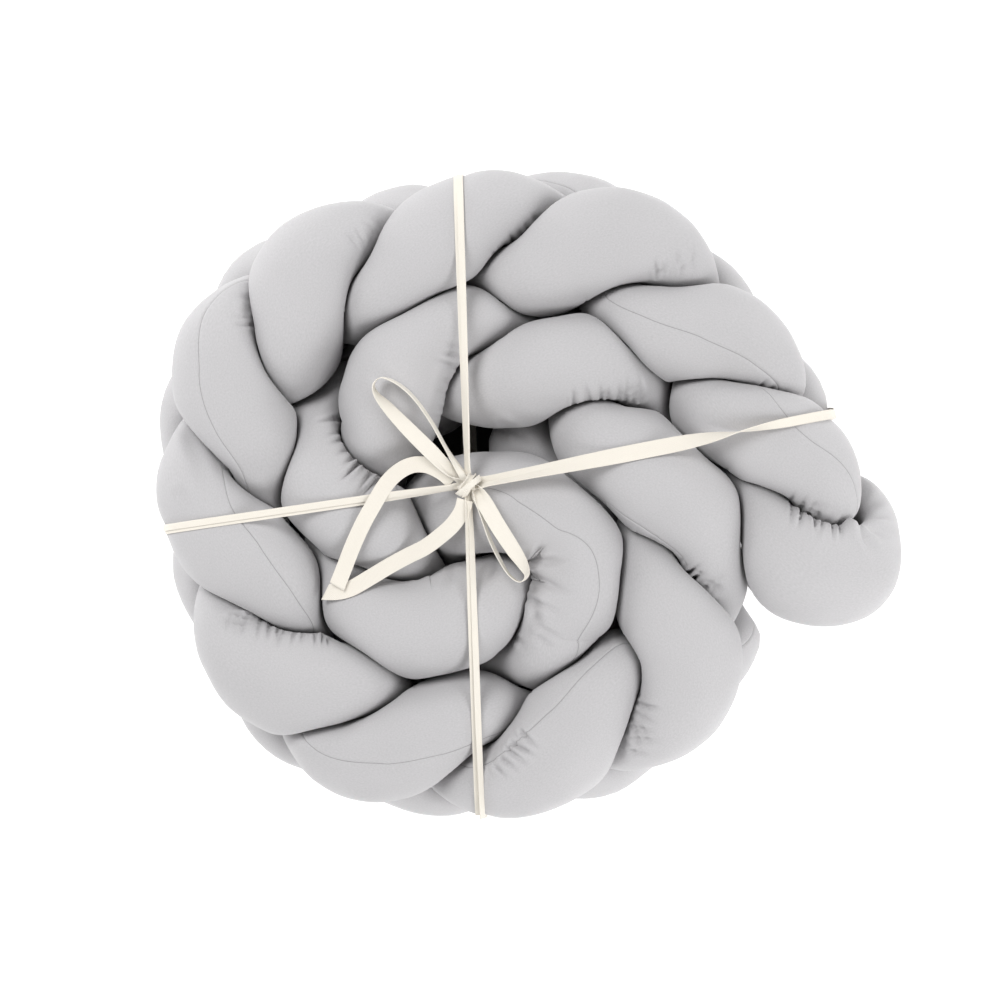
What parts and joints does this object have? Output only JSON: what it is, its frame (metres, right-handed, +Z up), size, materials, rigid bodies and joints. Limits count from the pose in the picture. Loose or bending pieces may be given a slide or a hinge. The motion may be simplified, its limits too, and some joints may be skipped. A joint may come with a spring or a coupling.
{
  "type": "braided crib bumper",
  "caption": "Long plaited bumper of stuffed jersey tubes, stood on its edge, rolled into a spiral and tied with cotton tape.",
  "frame": {"origin": "middle of the footprint, on the surface that the roll stands on", "axes": "+Z is up, along the axis of the roll; +X is the longest side of the footprint, towards the braid's outer end"},
  "size_m": [0.5782, 0.51, 0.195],
  "materials": {
    "grey_jersey": "matte cotton jersey over soft filling",
    "cream_tape": "matte cotton twill tape"
  },
  "bodies": {
    "root": {"strand_1": "grey_jersey", "strand_2": "grey_jersey", "strand_3": "grey_jersey", "tape_tie": "cream_tape", "tape_tail_1": "cream_tape", "tape_tail_2": "cream_tape"}
  },
  "joints": []
}
